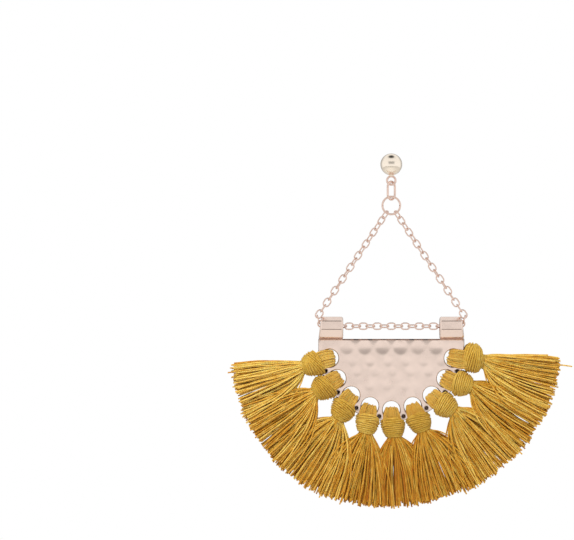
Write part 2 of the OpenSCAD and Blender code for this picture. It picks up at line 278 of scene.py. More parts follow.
def thread_tree():
    """Sweeps a round thread along every spline, and keeps where each point lies on its thread."""
    tree, add, given = new_tree(
        "sweep_threads",
        floats=("Thread radius", "Fold light share", "Painted light", "Painted light outwards"),
        integers=("Sides", "Points per bend", "Seed"),
    )
    soft = add("GeometryNodeCurveSplineType", {"Curve": given["Geometry"]}, spline_type="CATMULL_ROM")
    soft = add(
        "GeometryNodeSetSplineResolution", {"Geometry": soft, "Resolution": given["Points per bend"]}
    )
    path = add("GeometryNodeResampleCurve", {"Curve": soft}, mode="EVALUATED")
    index = add("GeometryNodeCurveOfPoint").outputs["Curve Index"]
    tone = add("FunctionNodeRandomValue", {2: 0.0, 3: 1.0, "ID": index, "Seed": given["Seed"]}).outputs[1]
    # Painted light for the whole piece, as light falls on its tassel, is added to each thread's random tone
    tone = add("ShaderNodeMath", {0: tone, 1: given["Painted light"]}, operation="ADD")
    # The threads come from the innermost layer to the outermost: painted shade on the inner layers and
    # painted light on the outer ones, which are palest
    tone = add("ShaderNodeMath", {0: index, 1: given["Painted light outwards"], 2: tone}, operation="MULTIPLY_ADD")
    run = add("GeometryNodeSplineParameter").outputs
    # The middle of a thread bears on the rim, where it takes painted light
    away = add("ShaderNodeMath", {0: run["Factor"], 1: 0.5}, operation="SUBTRACT")
    away = add("ShaderNodeMath", {0: away}, operation="ABSOLUTE")
    rubbed = add(
        "ShaderNodeMapRange",
        {"Value": away, "From Min": 0.16, "From Max": 0.1, "To Max": given["Fold light share"]},
    )
    for name, value in (("tone", tone), ("along", run["Length"]), ("rubbed", rubbed)):
        path = add("GeometryNodeStoreNamedAttribute", {"Geometry": path, "Name": name, "Value": value})
    ring = add(
        "GeometryNodeCurvePrimitiveCircle", {"Resolution": given["Sides"], "Radius": given["Thread radius"]}
    )
    side = add("GeometryNodeInputPosition")
    outward = add("ShaderNodeVectorMath", {0: side}, operation="NORMALIZE")
    ring = add(
        "GeometryNodeStoreNamedAttribute",
        {"Geometry": ring, "Name": "around", "Value": outward},
        data_type="FLOAT_VECTOR",
    )
    swept = add("GeometryNodeCurveToMesh", {"Curve": path, "Profile Curve": ring, "Fill Caps": True})
    finish_tree(add, swept, given["Material"])
    return tree


def link_tree():
    """Puts one bent wire link on every point, turned as the point says."""
    tree, add, given = new_tree(
        "place_links", floats=("Wire", "Long way", "Short way"), integers=("Bend points", "Sides")
    )
    size = {"Width": given["Long way"], "Height": given["Short way"]}
    box = add("GeometryNodeCurvePrimitiveQuadrilateral", size)
    # A hair under half the width keeps the fillet from closing up the short sides
    half = add("ShaderNodeMath", {0: given["Short way"], 1: 0.49999}, operation="MULTIPLY")
    loop = add(
        "GeometryNodeFilletCurve",
        {"Curve": box, "Count": given["Bend points"], "Radius": half, "Limit Radius": True},
        mode="POLY",
    )
    wire_r = add("ShaderNodeMath", {0: given["Wire"], 1: 0.5}, operation="MULTIPLY")
    ring = add("GeometryNodeCurvePrimitiveCircle", {"Resolution": given["Sides"], "Radius": wire_r})
    link = add("GeometryNodeCurveToMesh", {"Curve": loop, "Profile Curve": ring})
    turn = add("GeometryNodeInputNamedAttribute", {"Name": "turn"}, data_type="FLOAT_VECTOR")
    chain = add(
        "GeometryNodeInstanceOnPoints", {"Points": given["Geometry"], "Instance": link, "Rotation": turn}
    )
    finish_tree(add, chain, given["Material"])
    return tree


THREADS = thread_tree()
LINKS = link_tree()


def add_object(name, data):
    """A new object at the origin."""
    made = bpy.data.objects.new(name, data)
    bpy.context.scene.collection.objects.link(made)
    return made


def applied_mesh(source):
    """The plain mesh that an object's modifiers make."""
    graph = bpy.context.evaluated_depsgraph_get()
    return bpy.data.meshes.new_from_object(source.evaluated_get(graph), depsgraph=graph)


def grow(name, data, tree, sizes):
    """Runs a geometry tree on places or paths and returns its result as a plain mesh object."""
    source = add_object(data.name, data)
    modifier = source.modifiers.new(tree.name, "NODES")
    modifier.node_group = tree
    named = {s.name: s.identifier for s in tree.interface.items_tree if s.in_out == "INPUT"}
    for size, value in sizes.items():
        modifier[named[size]] = value
    mesh = applied_mesh(source)
    bpy.data.objects.remove(source)
    mesh.name = name
    return add_object(name, mesh)


def even_steps(start, end, steps):
    """Values from start to end, both included."""
    return [start + (end - start) * i / steps for i in range(steps + 1)]


def points_round(centre, r, steps, start=0.0):
    """Points evenly round a centre, from a start that is a share of one step."""
    turns = [2 * math.pi * (k + start) / steps for k in range(steps)]
    return [(centre[0] + r * math.cos(a), centre[1] + r * math.sin(a)) for a in turns]


def settle(piece, slot, *nodes):
    """Says what a finished piece rides on and stands for. The slot is not used."""
    body = next(b for b, members in frame["record"]["behaviour"]["bodies"].items() if nodes[0] in members)
    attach(piece, body)
    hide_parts(*nodes)


def mesh_object(name, points, faces, material):
    """A mesh object from points in millimetres, its doubles merged and its faces turned outwards."""
    mesh = bpy.data.meshes.new(name)
    mesh.from_pydata([Vector(p) * MM for p in points], [], faces)
    tidy = bmesh.new()
    tidy.from_mesh(mesh)
    bmesh.ops.remove_doubles(tidy, verts=tidy.verts, dist=1e-7)
    bmesh.ops.recalc_face_normals(tidy, faces=tidy.faces)
    tidy.to_mesh(mesh)
    tidy.free()
    mesh.materials.append(material)
    return add_object(name, mesh)


def smooth(mesh, angle):
    """Smooth shading, but for edges sharper than angle degrees."""
    mesh.shade_smooth()
    mesh.set_sharp_from_angle(angle=math.radians(angle))


def join_meshes(name, parts):
    """Parts of one soldered piece as one object."""
    bpy.context.view_layer.update()
    with bpy.context.temp_override(
        active_object=parts[0], selected_editable_objects=parts, selected_objects=parts
    ):
        bpy.ops.object.join()
    parts[0].name = name
    parts[0].data.name = name
    return parts[0]


# The chain, the jump ring, the oval link and the stud

# Degrees at which a turned end stops, just short of its pole
ROUND_END_STOP = 172
# A small fillet of solder runs from the ball to the post, as (distance behind the lobe, radius)
SOLDER_FILLET = [(-0.25, 0.75), (0.02, 0.62), (0.2, 0.47), (0.42, POST_D / 2)]
# The bead of solder between the ball and the loop
BEAD_MIDDLE = (0, MID_Y, -BALL_D / 2 + 0.05)
BEAD_RADII = (0.62, 0.5, 0.42)


def wire_links(name, places, wire, long_way, short_way, bend_points=12, sides=16):
    """Links from places, each (x, z, matrix that turns a link that lies flat along X)."""
    mesh = bpy.data.meshes.new(name + "_places")
    mesh.from_pydata([(x * MM, MID_Y * MM, z * MM) for x, z, turn in places], [], [])
    turns = mesh.attributes.new("turn", "FLOAT_VECTOR", "POINT")
    for spot, (x, z, turn) in zip(turns.data, places):
        spot.vector = turn.to_euler("XYZ")
    return grow(
        name,
        mesh,
        LINKS,
        {
            "Wire": wire * MM,
            "Long way": long_way * MM,
            "Short way": short_way * MM,
            "Bend points": bend_points,
            "Sides": sides,
            "Material": ROSE_WIRE,
        },
    )


def upright(heading=0.0, twist=0.0):
    """The turn of a link that lies along heading in the XZ plane and is twisted on its own length."""
    level = Matrix.Rotation(-math.radians(heading), 3, "Y")
    return level @ Matrix.Rotation(math.radians(90 + twist), 3, "X")


def ahead(point, angle, distance):
    """The point at a distance along an angle in the XZ plane."""
    a = math.radians(angle)
    return point[0] + distance * math.cos(a), point[1] + distance * math.sin(a)


def half_chain():
    """The right half of the taut chain as (x, z above the run, heading, twist), without its middle link."""
    links = [(n * LINK_STEP, 0.0, 0.0, n % 2 * RUN_TWIST) for n in range(1, RUN_LINKS + 1)]
    start = ((RUN_LINKS + 0.5) * LINK_STEP, 0.0)
    rim_link = ahead(start, CORNER_TURN[0], CORNER_REACH[0])
    rise_start = ahead(rim_link, CORNER_TURN[0], CORNER_REACH[1])
    rise_link = ahead(rise_start, CORNER_TURN[1], CORNER_REACH[1])
    side_start = ahead(rise_link, CORNER_TURN[1], CORNER_REACH[2])
    links += [(*rim_link, CORNER_TURN[0], 0), (*rise_link, CORNER_TURN[1], 90)]
    ring_to_hook = RING_R - RING_WIRE / 2 - LINK_GAP + LINK_IN / 2
    side_l = ring_to_hook + SIDE_LINKS * LINK_STEP + CORNER_REACH[2]
    rise = math.sqrt(side_l**2 - side_start[0] ** 2)
    heading = math.degrees(math.atan2(rise, -side_start[0]))
    for n in range(SIDE_LINKS + 1):
        point = ahead(side_start, heading, CORNER_REACH[2] + n * LINK_STEP)
        links.append((*point, heading, n % 2 * 90 + SIDE_TWIST * (n + 1) / (SIDE_LINKS + 1)))
    return links, RING_Z - side_start[1] - rise


def sling_chain():
    half, run_z = half_chain()
    places = [(0.0, run_z, upright())]
    for x, z, heading, twist in half:
        places.append((x, run_z + z, upright(heading, twist)))
        places.append((-x, run_z + z, upright(180 - heading, -twist)))
    long_way = LINK_IN + LINK_WIRE
    short_way = LINK_W - LINK_WIRE
    piece = wire_links("sling_chain", places, LINK_WIRE, long_way, short_way, bend_points=7, sides=10)
    settle(piece, "rose_metal", "chain")


def jump_ring():
    places = [(0.0, RING_Z, upright())]
    piece = wire_links("jump_ring_wire", places, RING_WIRE, 2 * RING_R, 2 * RING_R, bend_points=16)
    settle(piece, "rose_metal", "jump_ring")


def oval_link():
    places = [(0.0, OVAL_Z, Matrix.Rotation(OVAL_TURN, 3, "Z") @ upright(90))]
    piece = wire_links("oval_link_wire", places, OVAL_WIRE, OVAL_IN + OVAL_WIRE, OVAL_W - OVAL_WIRE)
    settle(piece, "rose_metal", "top_link")


def ring_faces(rings, steps, closed=False):
    """Faces between rings of points, all with the same number of steps."""
    faces = []
    for i in range(rings if closed else rings - 1):
        j = (i + 1) % rings
        for k in range(steps):
            m = (k + 1) % steps
            faces.append((i * steps + k, i * steps + m, j * steps + m, j * steps + k))
    return faces


def turned(name, profile, steps):
    """A piece turned on the post's axis from a profile of (distance behind the lobe, radius)."""
    points = [(x, y, z) for y, r in profile for x, z in points_round((0, 0), r, steps)]
    caps = [tuple(range(steps)), tuple((len(profile) - 1) * steps + k for k in range(steps))]
    return mesh_object(name, points, ring_faces(len(profile), steps) + caps, CHAMPAGNE)


def round_end(centre, r, turns, start):
    """Profile points on an arc about centre, from start degrees from the -Y side nearly to the +Y side."""
    angles = [math.radians(a) for a in even_steps(start, ROUND_END_STOP, turns)]
    return [(centre - r * math.cos(a), r * math.sin(a)) for a in angles]


def ear_stud():
    ball = turned("ball", round_end(MID_Y, BALL_D / 2, 40, 1), 64)
    post_end = round_end(POST_L - POST_D / 2, POST_D / 2, 8, 90)
    post = turned("post", SOLDER_FILLET + post_end, 20)
    across = LOOP_OD - LOOP_WIRE
    loop = wire_links("loop", [(0.0, LOOP_Z, upright())], LOOP_WIRE, across, across)
    bead = mesh_object("solder", *ball_mesh(BEAD_MIDDLE, BEAD_RADII, 20), CHAMPAGNE)
    piece = join_meshes("stud_ball_and_post", [ball, post, loop, bead])
    smooth(piece.data, 50)
    settle(piece, "pale_metal", "ear_stud")


def ball_mesh(centre, radii, steps):
    """Points and faces of an ellipsoid."""
    x, y, z = centre
    wide, deep, tall = radii
    rings = steps // 2
    points = [(x, y, z - tall)]
    faces = []
    for i in range(1, rings):
        b = math.pi * i / rings - math.pi / 2
        for k in range(steps):
            a = 2 * math.pi * k / steps
            across = wide * math.cos(b) * math.cos(a)
            behind = deep * math.cos(b) * math.sin(a)
            points.append((x + across, y + behind, z + tall * math.sin(b)))
    points.append((x, y, z + tall))
    top = len(points) - 1
    for k in range(steps):
        m = (k + 1) % steps
        faces.append((0, 1 + m, 1 + k))
        for i in range(rings - 2):
            row = 1 + i * steps
            faces.append((row + k, row + m, row + steps + m, row + steps + k))
        faces.append((top - steps + k, top - steps + m, top))
    return points, faces


# The half-moon plate with its two tubes

EDGE_R = 0.32
CHAMFER = 0.38
# The hammer has drawn the face back a little along the top edge, between the tubes
BROW = 0.13
BROW_WIDTH = 1.9
BROW_ENDS = (TUBE_IN + 0.4, TUBE_IN - 1.2)
# The face also waves a little, as hammered sheet does: height and length of a wave
WAVE = 0.035
WAVE_L = 5
MARK_STEP = 4.88
# Rows of hammer marks: (drop below the plate's centre, first x, diameter, depth of each mark)
MARK_ROWS = (
    (-0.1, -12.2, 3.9, (0.13, 0.17, 0.22, 0.24, 0.15, 0.19)),
    (3.9, -10.75, 2.7, (0.04, 0.065, 0.04, 0.05, 0.045, 0.045)),
    (6.7, -9.4, 2.7, (0.05, 0.035, 0.04, 0.035, 0.055)),
    (10.6, -6.0, 2.7, (0.05, 0.045, 0.035)),
)
# The metal rises a little round each mark: how far out, and how worn round its rim is
MARK_FADE = 0.35
MARK_WEAR = 0.12
# The small pits between neighbouring holes, near the rim
PIT_R = 19.2
PIT_D = 1.2
PIT_DEPTH = 0.45
# How much painted shade darkens the edges, the top edge beside a tube and the pits
EDGE_SHADE = 0.55
BY_TUBE_SHADE = 0.25
PIT_SHADE = 0.95
# How wide the painted shade is along the top edge and along the others
TOP_BAND = 0.3
EDGE_BAND = 0.11
# Points of the outline along its arc, each straight side, the top and each hole
ARC_STEPS = 150
SIDE_STEPS = 15
TOP_STEPS = 100
HOLE_STEPS = 48
# Rows of points inside every edge, at these distances from it: half the arc's angle and half the top's
# length, each straight side's lowest and highest point, and how many points each row has
EDGE_RINGS = (0.04, 0.1, 0.18, 0.27, 0.38, 0.54)
INNER_ARC_HALF = 92
INNER_ARC_STEPS = 170
INNER_TOP_HALF = 19.8
INNER_SIDE = (-3.6, 2.0, 14)
INNER_HOLE_STEPS = 50
PIT_STEPS = 20
# The even grid over the rest of the face: its step, how far in it starts, and its rows' share of a step
GRID_MM = 0.42
GRID_TOP = 0.7
GRID_AWAY = 0.68
GRID_ROW = 0.866
SLACK = 0.012


def arc_point(a, r):
    """The point at a radius from the plate's centre, at an angle from straight down."""
    return r * math.sin(a), -r * math.cos(a)


HOLE_CENTRES = [
    arc_point(math.radians((n - MID_HOLE) * HOLE_STEP), HOLE_RING_R) for n in range(1, HOLES + 1)
]
PIT_CENTRES = [arc_point(math.radians((n + 0.5 - MID_HOLE) * HOLE_STEP), PIT_R) for n in range(1, HOLES)]


def to_edge(x, z):
    """Distance from a point of the plate to its nearest edge, z being above the plate's centre."""
    holes = min(math.hypot(x - hole_x, z - hole_z) for hole_x, hole_z in HOLE_CENTRES)
    return min(PLATE_R - math.hypot(x, z), PLATE_HALF_W - abs(x), PLATE_TOP - z, holes - HOLE_D / 2)


def edge_fall(x, z):
    """How far the rounded edge, or the top edge's filed chamfer, lies below the face at a point."""
    d = to_edge(x, z)
    round_fall = EDGE_R - math.sqrt(max(0.0, EDGE_R**2 - (EDGE_R - d) ** 2)) if d < EDGE_R else 0.0
    brow = BROW * max(0.0, 1 - (PLATE_TOP - z) / BROW_WIDTH) ** 2 * ease(*BROW_ENDS, abs(x))
    return max(round_fall, CHAMFER - (PLATE_TOP - z)) + brow


def mark_depth(x, z):
    """Depth of the hammer marks and the pits at a point."""
    deepest = 0.0
    for drop, first, d, depths in MARK_ROWS:
        for i, depth in enumerate(depths):
            away = math.hypot(x - first - i * MARK_STEP, z + drop) / (d / 2)
            if away < 1 + MARK_FADE:
                bowl = depth * (1 - away * away)
                soft = 0.5 * (bowl + math.sqrt(bowl * bowl + (MARK_WEAR * depth) ** 2))
                deepest = max(deepest, soft * max(0.0, 1 - (max(0.0, away - 1) / MARK_FADE)))
    return deepest + PIT_DEPTH * pit_share(x, z)


def pit_share(x, z):
    """How far a point lies in one of the small pits, from 0 outside to 1 at its middle."""
    near = min(math.hypot(x - pit_x, z - pit_z) for pit_x, pit_z in PIT_CENTRES) / (PIT_D / 2)
    return max(0.0, 1 - near**3)


def painted_shade_share(x, z):
    """How much painted shade darkens a point of the front: in the pits and along the edges."""
    if PLATE_TOP - z < TOP_BAND:
        return EDGE_SHADE if abs(x) < TUBE_IN else BY_TUBE_SHADE
    edge = EDGE_SHADE if to_edge(x, z) < EDGE_BAND else 0.0
    return max(edge, PIT_SHADE * pit_share(x, z) ** 0.7)


def plate_loops():
    """The plate's outline and the holes' edges, as closed loops of points."""
    corner = math.asin(PLATE_HALF_W / PLATE_R)
    outline = [arc_point(a, PLATE_R) for a in even_steps(-corner, corner, ARC_STEPS)]
    side_bottom = outline[-1][1]
    outline += [(PLATE_HALF_W, z) for z in even_steps(side_bottom, PLATE_TOP, SIDE_STEPS)[1:]]
    outline += [(x, PLATE_TOP) for x in even_steps(PLATE_HALF_W, -PLATE_HALF_W, TOP_STEPS)[1:-1]]
    outline += [(-PLATE_HALF_W, z) for z in even_steps(PLATE_TOP, side_bottom, SIDE_STEPS)[:-1]]
    return [outline] + [points_round(centre, HOLE_D / 2, HOLE_STEPS) for centre in HOLE_CENTRES]


def inner_points():
    """Points inside the outline, each with the distance from the edges that it has to keep."""
    inner = []
    for away in EDGE_RINGS:
        sweep = even_steps(-INNER_ARC_HALF, INNER_ARC_HALF, INNER_ARC_STEPS)
        inner += [(*arc_point(math.radians(a), PLATE_R - away), away) for a in sweep]
        for centre in HOLE_CENTRES:
            ring = points_round(centre, HOLE_D / 2 + away, INNER_HOLE_STEPS, 0.5)
            inner += [(x, z, away) for x, z in ring]
        across = even_steps(-INNER_TOP_HALF, INNER_TOP_HALF, TOP_STEPS - 1)
        inner += [(x, PLATE_TOP - away, away) for x in across]
        for centre in PIT_CENTRES:
            ring = points_round(centre, PIT_D / 2 * (1 - away * 1.5), PIT_STEPS, away)
            inner += [(x, z, 0.0) for x, z in ring]
        for side in (-1, 1):
            inner += [(side * (PLATE_HALF_W - away), z, away) for z in even_steps(*INNER_SIDE)]
    for j in range(int(PLATE_R * 2 / (GRID_MM * GRID_ROW)) + 2):
        for i in range(int(PLATE_R * 2 / GRID_MM) + 2):
            x = -PLATE_R + (i + 0.5 * (j % 2)) * GRID_MM
            inner.append((x, PLATE_TOP - GRID_TOP - j * GRID_MM * GRID_ROW, GRID_AWAY))
    return inner


def plate_face():
    """Triangles that fill the plate's outline round its holes, finest at the edges."""
    points = []
    edges = []
    for loop in plate_loops():
        start = len(points)
        points += loop
        edges += [(start + i, start + (i + 1) % len(loop)) for i in range(len(loop))]
    points += [(x, z) for x, z, away in inner_points() if to_edge(x, z) > away - SLACK]
    found = delaunay_2d_cdt([Vector(p) for p in points], edges, [], 0, 1e-5)
    flat = [(v.x, v.y) for v in found[0]]
    faces = []
    for face in found[2]:
        x = sum(flat[i][0] for i in face) / 3
        z = sum(flat[i][1] for i in face) / 3
        if to_edge(x, z) > 0:
            faces.append(tuple(face))
    return flat, faces


def plate_shell():
    """The half-moon plate: a hammered front, a plain back and a worn edge between them."""
    flat, faces = plate_face()
    count = len(flat)
    points = []
    for side in (-1, 1):
        for x, z in flat:
            sunk = edge_fall(x, z)
            wave = WAVE * noise.noise(Vector((x / WAVE_L, z / WAVE_L, side * 4.0)))
            if side < 0:
                sunk += mark_depth(x, z)
            height = PLATE_T / 2 - sunk + wave * min(1.0, max(0.0, to_edge(x, z)))
            points.append((x, MID_Y + side * height, ARC_Z + z))
    used = {}
    for a, b, c in faces:
        for edge in ((a, b), (b, c), (c, a)):
            key = tuple(sorted(edge))
            used[key] = used.get(key, 0) + 1
    walls = [(a, b, b + count, a + count) for (a, b), times in used.items() if times == 1]
    backs = [tuple(count + i for i in reversed(face)) for face in faces]
    shell = mesh_object("plate_shell", points, faces + backs + walls, ROSE_GOLD)
    loose = bmesh.new()
    loose.from_mesh(shell.data)
    bmesh.ops.delete(loose, geom=[v for v in loose.verts if not v.link_faces], context="VERTS")
    loose.to_mesh(shell.data)
    loose.free()
    smooth(shell.data, 31)
    # Painted shade on the front, in the pits and along the edges
    pits = shell.data.attributes.new("painted_shade", "FLOAT", "POINT")
    for spot, vertex in zip(pits.data, shell.data.vertices):
        x, y, z = vertex.co / MM
        spot.value = painted_shade_share(x, z - ARC_Z) if y < MID_Y else 0.0
    return shell


# The lines between the tube's front facets: which corners, half width and depth
GROOVED = (0, 1)
GROOVE_HALF = 0.17
GROOVE_DEPTH = 0.14
# A tube's worn end rim as distance from the end, inset and whether the grooves have started
TUBE_RIM = ((0.0, 0.5, False), (0.12, 0.22, False), (0.42, 0.02, False), (0.5, 0.0, True), (0.8, 0.0, True))
# The tube's wide mouth as share of the end's lean, distance from the end and radius
TUBE_MOUTH = (
    (1.0, 0.1, TUBE_MOUTH_R + 0.02),
    (1.0, 0.25, TUBE_MOUTH_R - 0.12),
    (0.5, 0.7, 2.0),
    (0.0, TUBE_MOUTH_DEPTH, TUBE_BORE_R),
)
# The bore's inner end as distance from the end and radius
TUBE_BORE_END = ((0.3, TUBE_BORE_R), (0.08, TUBE_BORE_R + 0.08), (0.0, TUBE_BORE_R + 0.25))
# Painted shade in the grooves between the front facets
GROOVE_SHADE = 0.85
# A trace of painted shadow on the tube's underside, along the seam with the plate, below this height from
# the tube's middle
SEAM_DROP = -2.9
SEAM_SHADOW = 0.08


def octagon(r, inset, grooved=False):
    """The tube's eight-sided section, each corner turned with three points, as (y, z)."""
    corners = []
    for k in range(8):
        a = math.radians(-5 + 45 * k)
        corners.append(Vector(((r - inset) * math.cos(a), (r - inset) * math.sin(a))))
    ring = []
    for k, corner in enumerate(corners):
        before = (corners[k - 1] - corner).normalized()
        after = (corners[(k + 1) % 8] - corner).normalized()
        first = corner + before * GROOVE_HALF
        last = corner + after * GROOVE_HALF
        middle = corner * 0.55 + (first + last) * 0.225
        if grooved and k in GROOVED:
            middle -= corner.normalized() * GROOVE_DEPTH
        ring += [first, middle, last]
    return ring


def tube_shell(side):
    """One eight-sided tube with worn end rims, a leaning outer end and a wide mouth for the chain."""
    plain = octagon(TUBE_R, 0)
    sections = []
    for away, inset, grooved in TUBE_RIM:
        sections.append([(TUBE_IN + away, y, z) for y, z in octagon(TUBE_R, inset, grooved)])
    lean = [(TUBE_R - z) * TUBE_LEAN for y, z in plain]
    for away, inset, grooved in reversed(TUBE_RIM):
        ring = octagon(TUBE_R, inset, grooved)
        sections.append([(TUBE_OUT + x - away, y, z) for x, (y, z) in zip(lean, ring)])
    angles = [math.atan2(z, y) for y, z in plain]
    for share, away, r in TUBE_MOUTH:
        ring = [(r * math.cos(a), r * math.sin(a)) for a in angles]
        sections.append([(TUBE_OUT - away + share * (TUBE_R - z) * TUBE_LEAN, y, z) for y, z in ring])
    for away, r in TUBE_BORE_END:
        sections.append([(TUBE_IN + away, r * math.cos(a), r * math.sin(a)) for a in angles])
    points = [(side * x, MID_Y - y, TUBE_Z + z) for ring in sections for x, y, z in ring]
    faces = ring_faces(len(sections), len(angles), closed=True)
    shell = mesh_object("tube_shell", points, faces, ROSE_GOLD)
    smooth(shell.data, 32)
    weigh = shell.modifiers.new("flat_sides", "WEIGHTED_NORMAL")
    weigh.keep_sharp = True
    shell.data = applied_mesh(shell)
    shell.modifiers.clear()
    # Painted shade in the grooves, and a trace of painted shadow low on the tube by the seam
    dark = shell.data.attributes.new("painted_shade", "FLOAT", "POINT")
    grooved = octagon(TUBE_R, 0.0, True)
    deepest = [grooved[3 * k + 1] for k in GROOVED]
    for spot, vertex in zip(dark.data, shell.data.vertices):
        x, y, z = vertex.co / MM
        here = Vector((MID_Y - y, z - TUBE_Z))
        in_groove = any((here - middle).length < 0.02 for middle in deepest)
        spot.value = GROOVE_SHADE if in_groove else SEAM_SHADOW if here.y < SEAM_DROP else 0.0
    return shell


def half_moon_plate():
    piece = join_meshes("half_moon_plate", [plate_shell(), tube_shell(1), tube_shell(-1)])
    settle(piece, "rose_metal", "plate")


# The tassels

THREAD_D = 0.43
BIND_D = 0.41
FOLDS_WIDE = 13
FOLDS_DEEP = 8
# How much paler the outermost threads are than the innermost: painted light outside and painted shade deep
# in the tassel
DEPTH_SHADE = 0.5
NECK_R = 2.1
BIND_END_R = 1.9
RIM_MID = (PLATE_R - HOLE_RING_R + HOLE_D / 2) / 2
# What sets one tassel apart from the next. Angles and radii are seen from the plate's centre
TRAITS = (
    "neck_a",  # where the neck points
    "tip_r",  # how far the tips reach
    "bulge_r",  # half the binding's width
    "lay",  # how far behind the plate's middle the skirt lies
    "neck_end",  # radius at which the neck ends
    "reach",  # how far the fold reaches into the hole
    "fold_w",  # width of the fold
    "top",  # where the binding starts in front, from the hole's centre
    "slant",  # slant of the binding's turns
    "draw",  # how far the turns draw together at the sides
    "shift",  # how far the binding bulges to one side
    "taper",  # how late the binding narrows towards the skirt
    "ball",  # how far the binding narrows towards the plate as well
    # painted light on the threads of a whole tassel, as light falls on it
    "paler",  # how much paler the threads are than most
    # painted light on a whole binding, as light falls on it
    "wound",  # how much paler the binding is than most
)
# The tassels from left to right
TASSELS = (
    (-77, 43.8, 4.05, -0.9, 25.1, 1.1, 1, 2.6, -0.5, 0.2, 0, 0.9, 0, 0.55, 0.0),
    (-58.7, 44.0, 4.05, -0.6, 24.8, 0.9, 1, 2.3, -0.25, 0.2, 0, 1.0, 0, 0.15, 0.0),
    (-36.5, 44.6, 3.8, -0.3, 24.8, 0.5, 0.95, 2.15, 0.15, 0.2, 0, 1.2, 0, 0.12, 0.0),
    (-16.5, 43.6, 3.5, 0, 24.8, 0.1, 0.9, 2.15, 0.1, 0.15, 0, 1.2, 0, -0.2, 0.2),
    (2, 43.4, 3.5, 0.25, 24.8, 0.4, 0.85, 2.15, 0, 0.1, 0, 1.2, 0, -0.35, 0.35),
    (21, 43.3, 3.55, 0, 24.8, 0.35, 0.9, 2.15, 0.2, 0.15, 0, 1.2, 0, -0.2, 0.25),
    (44, 44.6, 3.7, -0.3, 24.8, 0.4, 0.95, 2.15, -0.15, 0.15, 0, 1.2, 0, 0.2, 0.0),
    (63.5, 45.2, 3.85, -0.6, 24.8, 0.7, 1, 2.15, -0.1, 0.25, 0, 1.2, 0, 0.1, -0.2),
    (81, 46.0, 4.2, -0.9, 25.6, 1.1, 1, 2.5, 0.1, 0.3, 0.75, 3.6, 0.4, 0.4, 0.55),
)
# Angles between which each tassel's skirt fans out
FAN_EDGES = (-84, -65, -45.5, -24, -5, 13, 31.5, 51.5, 68, 86.5)
# The free ends spread wider than that, so that neighbours overlap, but not past the fan's two sides
SPREAD = 1.42
OVERLAP = 1.75
# Millimetres over which a free end turns into its own way
HOLD = (3.8, 6.2)
# Some threads have sprung out of their row and lie across the others, more of them in outer layers
SPRUNG_HOLD = (3, 10)
SPRUNG_SPREAD = 0.36
SPRUNG_SHARE = 0.25
OUTER_SPRUNG_SHARE = 0.45
# Threads lie in small locks, each cut a little longer or shorter, and a few threads are cut short
LOCK_L = 0.9
CUT_L = 0.33
SHORT_SHARE = 0.15
SHORT_L = (0.4, 1.8)
# Half the skirt's thickness
SKIRT_HALF_T = 1.5
# Threads that stick out of the rest: side, radius and angle of the tip, and how soon it turns there
STRAYS = {
    1: ((-1, 44.6, -82.6, 6), (-1, 45.2, -81.2, 8), (1, 44.4, -79.2, 7), (1, 43.2, -84.2, 5)),
    6: ((-1, 41.5, 34.5, 2.4),),
    9: ((-1, 45.7, 86.6, 5), (-1, 49.8, 84.0, 7), (1, 45.6, 85.1, 6), (1, 43.0, 87.0, 4)),
}
# Sections of the front of the fold round the rim: angle from outwards, then pairs of half width and
# distance from the rim's middle, from the inside out, then how much of the neck's lean it follows
FRONT_FOLD = (
    (60, ((1.6, 0.95), (2.5, 1.4), (2.75, 2.0), (2.6, 2.75)), 1.0),
    (90, ((1.9, 0.83), (2.5, 1.15), (2.7, 1.75), (2.65, 2.35)), 0.5),
    (125, ((0.8, 1.0), (2.2, 1.6), (2.65, 2.2), (2.6, 2.7)), 0.2),
    (155, ((0.3, 0.68), (1.6, 1.4), (2.3, 2.4), (2.4, 3.1)), 0.0),
    (180, ((0.3, 0.62), (1.5, 1.4), (2.0, 2.5), (2.2, 3.3)), 0.0),
)
BACK_FOLD = tuple((360 - angle, pairs, follow) for angle, pairs, follow in reversed(FRONT_FOLD[:-1]))
# Sections of the neck: distance along it, radius and share of depth, the last one from the neck's end
NECK = ((5.0, 2.95, 0.86), (6.1, 2.75, 0.92))
NECK_LAST = (0.9, 2.2, 1.0)
# Radii from the plate's centre at which a loose thread has a point of its path
SKIRT_RADII = (26.1, 27.6, 29.8, 32.8, 36.6, 40.0)
# How far a loose thread sways to each side, and the length of one sway
SWAY = 0.38
SWAY_L = 6.5
# The binding's turns down the neck and back up it, and the points of each turn
DOWN_TURNS = 14
UP_TURNS = 10
TURN_STEPS = 22
# How far the turns on their way up ride on the first ones, and the turns' share of depth at the plate
RIDE = 0.34
FLAT = 0.84


